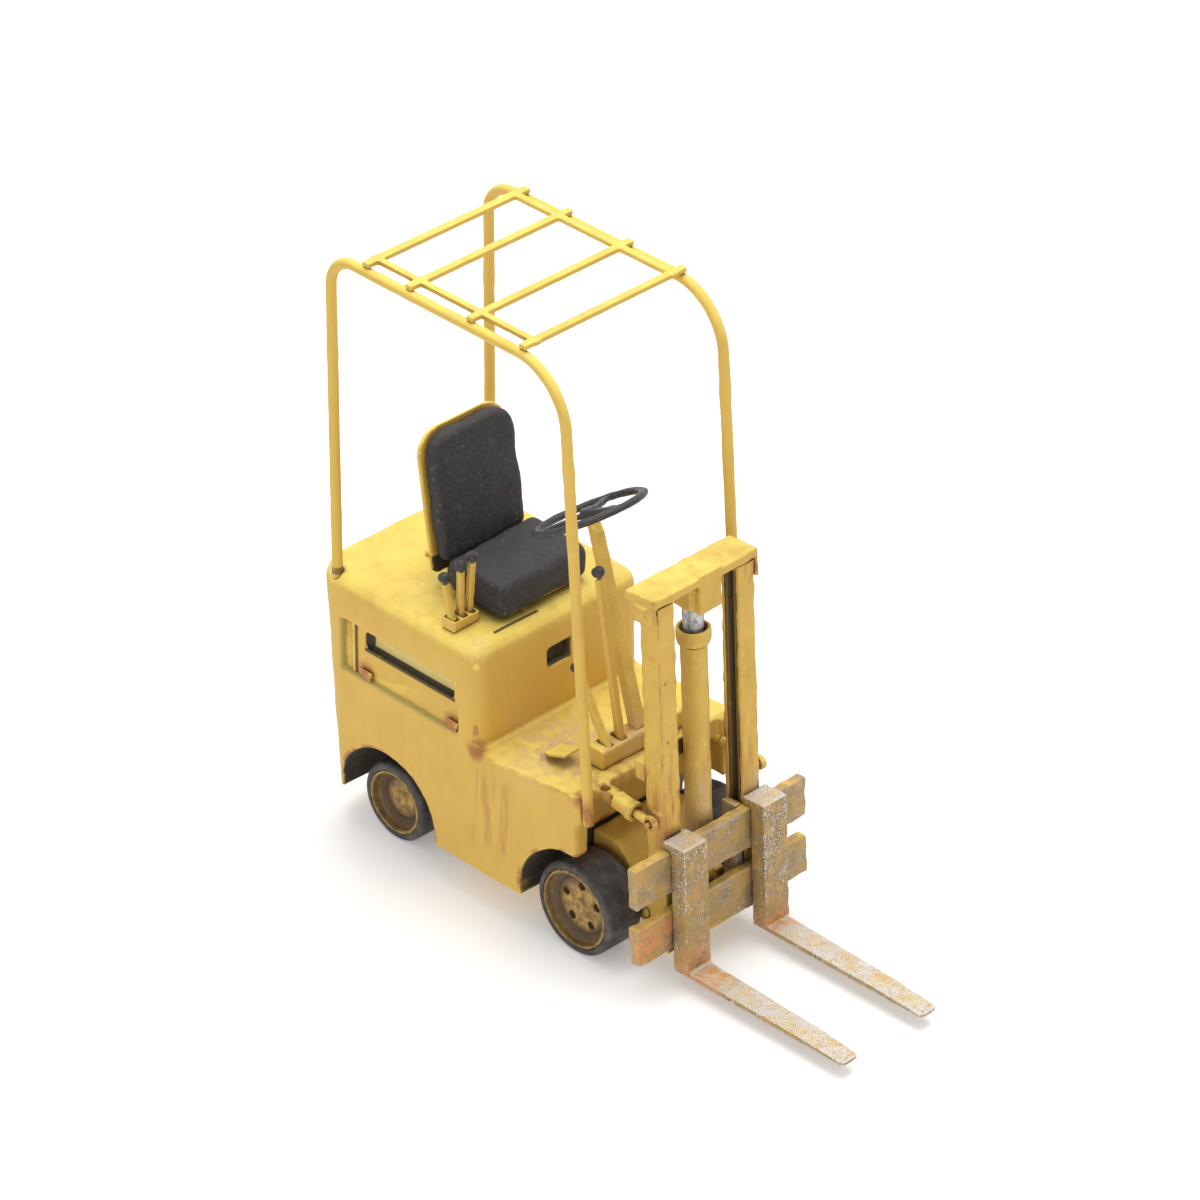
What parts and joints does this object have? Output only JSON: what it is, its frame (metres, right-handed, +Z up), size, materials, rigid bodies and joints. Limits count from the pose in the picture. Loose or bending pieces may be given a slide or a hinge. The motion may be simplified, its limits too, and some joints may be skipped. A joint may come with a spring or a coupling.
{
  "type": "toy forklift truck",
  "caption": "Miniature counterbalance forklift with open overhead guard, seat, levers, two-stage mast that tilts and lifts, sliding forks and steered rear wheels.",
  "frame": {"origin": "on the ground, on the centre plane, halfway between the fork tips and the back of the counterweight", "axes": "+Z up, -Y forward along the forks, -X the driver's right"},
  "size_m": [0.0106, 0.0312, 0.0297],
  "materials": {
    "body_paint": "matt hand-brushed ochre yellow over cast resin",
    "metal_paint": "matt hand-brushed ochre yellow over brass wire, strip and channel",
    "bright_steel": "dry-brushed silver",
    "rusty_steel": "worn yellow over silver with rust wash",
    "black_plastic": "matt black with grey dry-brushing",
    "tyre": "matt black"
  },
  "bodies": {
    "truck": {"body_casting": "body_paint", "side_panel_right": "body_paint", "side_panel_left": "body_paint", "guard_hoop_right": "metal_paint", "guard_hoop_left": "metal_paint", "roof_grid": "metal_paint", "seat_shell": "body_paint", "seat_back_pad": "black_plastic", "seat_cushion": "black_plastic", "seat_bracket": "body_paint", "dash_block": "body_paint", "steering_column": "metal_paint", "hand_lever_bracket": "body_paint", "drive_axle_housing": "body_paint", "steer_axle_beam": "body_paint"},
    "steering_wheel": {"steering_wheel": "black_plastic"},
    "lift_lever": {"lift_lever": "metal_paint", "lift_lever_knob": "black_plastic"},
    "tilt_lever": {"tilt_lever": "metal_paint", "tilt_lever_knob": "black_plastic"},
    "brake_lever": {"brake_lever": "metal_paint", "brake_lever_knob": "black_plastic"},
    "direction_lever": {"direction_lever": "metal_paint", "direction_lever_knob": "black_plastic"},
    "speed_lever": {"speed_lever": "metal_paint", "speed_lever_knob": "black_plastic"},
    "pedal": {"accelerator_pedal": "metal_paint"},
    "tie_rod": {"tie_rod": "rusty_steel"},
    "mast": {"mast_upright_right": "metal_paint", "mast_upright_left": "metal_paint", "mast_lower_tie": "metal_paint", "mast_brace": "metal_paint", "lift_barrel": "metal_paint", "lift_gland": "metal_paint"},
    "inner_mast": {"inner_rail_right": "metal_paint", "inner_rail_left": "metal_paint", "crosshead": "metal_paint", "lift_rod": "bright_steel"},
    "carriage": {"carriage_upper_bar": "rusty_steel", "carriage_lower_bar": "rusty_steel", "carriage_plate_right": "rusty_steel", "carriage_plate_left": "rusty_steel"},
    "front_wheel_right": {"front_tyre_right": "tyre", "front_rim_right": "body_paint"},
    "rear_wheel_right": {"rear_tyre_right": "tyre", "rear_rim_right": "body_paint"},
    "knuckle_right": {"steering_knuckle_right": "rusty_steel"},
    "tilt_barrel_right": {"tilt_barrel_right": "metal_paint"},
    "tilt_rod_right": {"tilt_rod_right": "bright_steel"},
    "fork_right": {"fork_right": "rusty_steel"},
    "front_wheel_left": {"front_tyre_left": "tyre", "front_rim_left": "body_paint"},
    "rear_wheel_left": {"rear_tyre_left": "tyre", "rear_rim_left": "body_paint"},
    "knuckle_left": {"steering_knuckle_left": "rusty_steel"},
    "tilt_barrel_left": {"tilt_barrel_left": "metal_paint"},
    "tilt_rod_left": {"tilt_rod_left": "bright_steel"},
    "fork_left": {"fork_left": "rusty_steel"}
  },
  "joints": [
    {"name": "front_wheel_right_spin", "type": "hinge", "parent": "truck", "child": "front_wheel_right", "pos_m": [0, -0.00097, 0.00228], "axis": [1, 0, 0], "continuous": true},
    {"name": "front_wheel_left_spin", "type": "hinge", "parent": "truck", "child": "front_wheel_left", "pos_m": [0, -0.00097, 0.00228], "axis": [1, 0, 0], "continuous": true},
    {"name": "steering_wheel_turn", "type": "hinge", "parent": "truck", "child": "steering_wheel", "pos_m": [0, 0.00293, 0.019], "axis": [0, 0.515, 0.8572], "range_deg": [-180, 180]},
    {"name": "knuckle_right_steer", "type": "hinge", "parent": "truck", "child": "knuckle_right", "pos_m": [-0.0026, 0.01093, 0.00195], "axis": [0, 0, 1], "range_deg": [-25.5, 25.5]},
    {"name": "rear_wheel_right_spin", "type": "hinge", "parent": "knuckle_right", "child": "rear_wheel_right", "pos_m": [0, 0.01093, 0.00195], "axis": [1, 0, 0], "continuous": true},
    {"name": "knuckle_left_steer", "type": "hinge", "parent": "truck", "child": "knuckle_left", "pos_m": [0.0026, 0.01093, 0.00195], "axis": [0, 0, 1], "range_deg": [-25.5, 25.5]},
    {"name": "rear_wheel_left_spin", "type": "hinge", "parent": "knuckle_left", "child": "rear_wheel_left", "pos_m": [0, 0.01093, 0.00195], "axis": [1, 0, 0], "continuous": true},
    {"name": "tie_rod_swing", "type": "hinge", "parent": "knuckle_right", "child": "tie_rod", "pos_m": [-0.0026, 0.01193, 0.0017], "axis": [0, 0, 1], "range_deg": [-25.5, 25.5]},
    {"name": "mast_tilt", "type": "hinge", "parent": "truck", "child": "mast", "pos_m": [0, -0.00327, 0.00228], "axis": [1, 0, 0], "range_deg": [-2, 6]},
    {"name": "tilt_barrel_right_swing", "type": "hinge", "parent": "truck", "child": "tilt_barrel_right", "pos_m": [-0.00337, -0.00192, 0.0082], "axis": [1, 0, 0], "range_deg": [-0.6, 1.4]},
    {"name": "tilt_rod_right_slide", "type": "slide", "parent": "tilt_barrel_right", "child": "tilt_rod_right", "axis": [0, -0.9923, -0.124], "range_m": [-0.00025, 0.00065]},
    {"name": "tilt_barrel_left_swing", "type": "hinge", "parent": "truck", "child": "tilt_barrel_left", "pos_m": [0.00337, -0.00192, 0.0082], "axis": [1, 0, 0], "range_deg": [-0.6, 1.4]},
    {"name": "tilt_rod_left_slide", "type": "slide", "parent": "tilt_barrel_left", "child": "tilt_rod_left", "axis": [0, -0.9923, -0.124], "range_m": [-0.00025, 0.00065]},
    {"name": "mast_lift", "type": "slide", "parent": "mast", "child": "inner_mast", "axis": [0, 0.0523, 0.9986], "range_m": [0, 0.01]},
    {"name": "carriage_lift", "type": "slide", "parent": "inner_mast", "child": "carriage", "axis": [0, 0.0523, 0.9986], "range_m": [0, 0.01]},
    {"name": "fork_right_spread", "type": "slide", "parent": "carriage", "child": "fork_right", "axis": [1, 0, 0], "range_m": [-0.0021, 0.0018]},
    {"name": "fork_left_spread", "type": "slide", "parent": "carriage", "child": "fork_left", "axis": [1, 0, 0], "range_m": [-0.0018, 0.0021]},
    {"name": "lift_lever_swing", "type": "hinge", "parent": "truck", "child": "lift_lever", "pos_m": [-0.00196, -0.00022, 0.00915], "axis": [1, 0, 0], "range_deg": [-8, 8], "stiffness_Nm_per_rad": 0.000002},
    {"name": "tilt_lever_swing", "type": "hinge", "parent": "truck", "child": "tilt_lever", "pos_m": [-0.00115, -0.00022, 0.00915], "axis": [1, 0, 0], "range_deg": [-8, 8], "stiffness_Nm_per_rad": 0.000002},
    {"name": "brake_lever_swing", "type": "hinge", "parent": "truck", "child": "brake_lever", "pos_m": [-0.00436, 0.00703, 0.01351], "axis": [1, 0, 0], "range_deg": [-15, 0]},
    {"name": "direction_lever_swing", "type": "hinge", "parent": "truck", "child": "direction_lever", "pos_m": [-0.00386, 0.00703, 0.01351], "axis": [1, 0, 0], "range_deg": [-8, 8]},
    {"name": "speed_lever_swing", "type": "hinge", "parent": "truck", "child": "speed_lever", "pos_m": [-0.00336, 0.00703, 0.01351], "axis": [1, 0, 0], "range_deg": [-8, 8]},
    {"name": "pedal_press", "type": "hinge", "parent": "truck", "child": "pedal", "pos_m": [-0.0031, 0.00193, 0.00848], "axis": [1, 0, 0], "range_deg": [0, 12], "stiffness_Nm_per_rad": 0.000001, "springref_deg": -11.46}
  ],
  "couplings": [
    {"joint": "knuckle_right_steer", "follows": "steering_wheel_turn", "ratio": -0.13889},
    {"joint": "knuckle_left_steer", "follows": "steering_wheel_turn", "ratio": -0.13889},
    {"joint": "tie_rod_swing", "follows": "steering_wheel_turn", "ratio": 0.13889},
    {"joint": "tilt_barrel_right_swing", "follows": "mast_tilt", "ratio": 0.19525},
    {"joint": "tilt_rod_right_slide", "follows": "mast_tilt", "m_per_rad": 0.0056922},
    {"joint": "tilt_barrel_left_swing", "follows": "mast_tilt", "ratio": 0.19525},
    {"joint": "tilt_rod_left_slide", "follows": "mast_tilt", "m_per_rad": 0.0056922},
    {"joint": "carriage_lift", "follows": "mast_lift", "ratio": 1}
  ]
}
